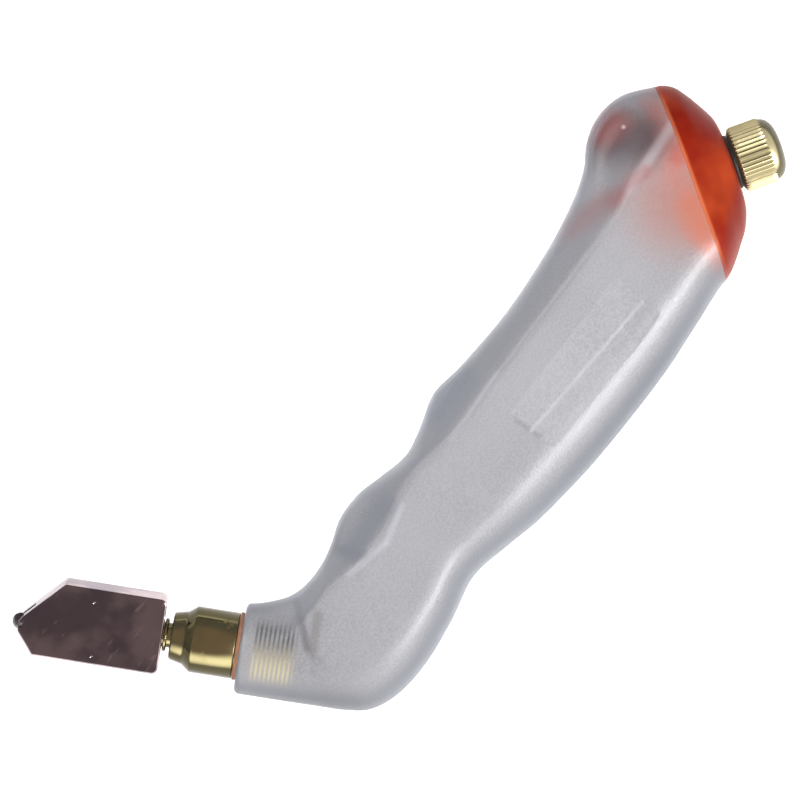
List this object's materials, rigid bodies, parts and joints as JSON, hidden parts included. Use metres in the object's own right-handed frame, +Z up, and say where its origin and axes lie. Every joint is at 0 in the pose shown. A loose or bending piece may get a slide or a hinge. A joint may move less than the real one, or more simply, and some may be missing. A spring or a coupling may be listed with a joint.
{
  "type": "glass cutter",
  "caption": "Oil-fed glass cutter with a frosted pistol grip, red end cap, knurled brass filler screw, brass ferrule and a wide plated head with a scoring wheel.",
  "frame": {"origin": "under the middle of the tool as it lies on its right side", "axes": "+X along the grip towards the filler screw, +Y towards the fingers and the head, +Z up through the grip's left side"},
  "size_m": [0.1522, 0.0654, 0.0248],
  "materials": {
    "frosted_plastic": "frosted translucent grey plastic, fine sparkle texture",
    "red_plastic": "translucent orange-red plastic, satin",
    "brass": "polished turned brass",
    "knurled_brass": "bright knurled brass",
    "chrome": "polished plating with fine scratches",
    "carbide": "ground hard metal",
    "spring_steel": "drawn spring steel",
    "black_rubber": "matte black rubber",
    "orange_fibre": "matte orange fibre",
    "felt": "white felt thread"
  },
  "bodies": {
    "grip": {"grip_shell_left": "frosted_plastic", "grip_shell_right": "frosted_plastic", "end_cap": "red_plastic", "filler_bush": "brass", "ferrule": "brass", "ferrule_gasket": "orange_fibre", "stem_o_ring": "black_rubber", "retaining_clip": "spring_steel", "spring_washer": "spring_steel", "valve_spring": "spring_steel"},
    "valve": {"valve_seal": "black_rubber"},
    "head": {"head_block": "chrome", "head_stem": "brass", "stem_collar": "brass", "wheel_axle": "spring_steel", "oil_wick": "felt"},
    "wheel": {"cutting_wheel": "carbide"},
    "filler_seal": {"filler_gasket": "black_rubber"},
    "filler": {"filler_screw": "knurled_brass"}
  },
  "joints": [
    {"name": "head_press", "type": "slide", "parent": "grip", "child": "valve", "axis": [0.4695, -0.8829, 0], "range_m": [0, 0.0006], "stiffness_N_per_m": 2000, "springref_m": -0.0015, "deforming": ["valve_spring"]},
    {"name": "head_swivel", "type": "hinge", "parent": "valve", "child": "head", "pos_m": [-0.05904, 0.00932, 0.0124], "axis": [-0.4695, 0.8829, 0], "continuous": true},
    {"name": "wheel_spin", "type": "hinge", "parent": "head", "child": "wheel", "pos_m": [-0.07248, 0.03117, 0.01199], "axis": [-0.2196, -0.1168, 0.9686], "continuous": true},
    {"name": "filler_lift", "type": "slide", "parent": "grip", "child": "filler_seal", "axis": [0.8387, -0.5446, 0], "range_m": [0, 0.008]},
    {"name": "filler_turn", "type": "hinge", "parent": "filler_seal", "child": "filler", "pos_m": [0.06713, -0.02025, 0.0124], "axis": [0.8387, -0.5446, 0], "range_deg": [0, 2881]}
  ],
  "couplings": [
    {"joint": "filler_turn", "follows": "filler_lift", "rad_per_m": 6283.2}
  ]
}
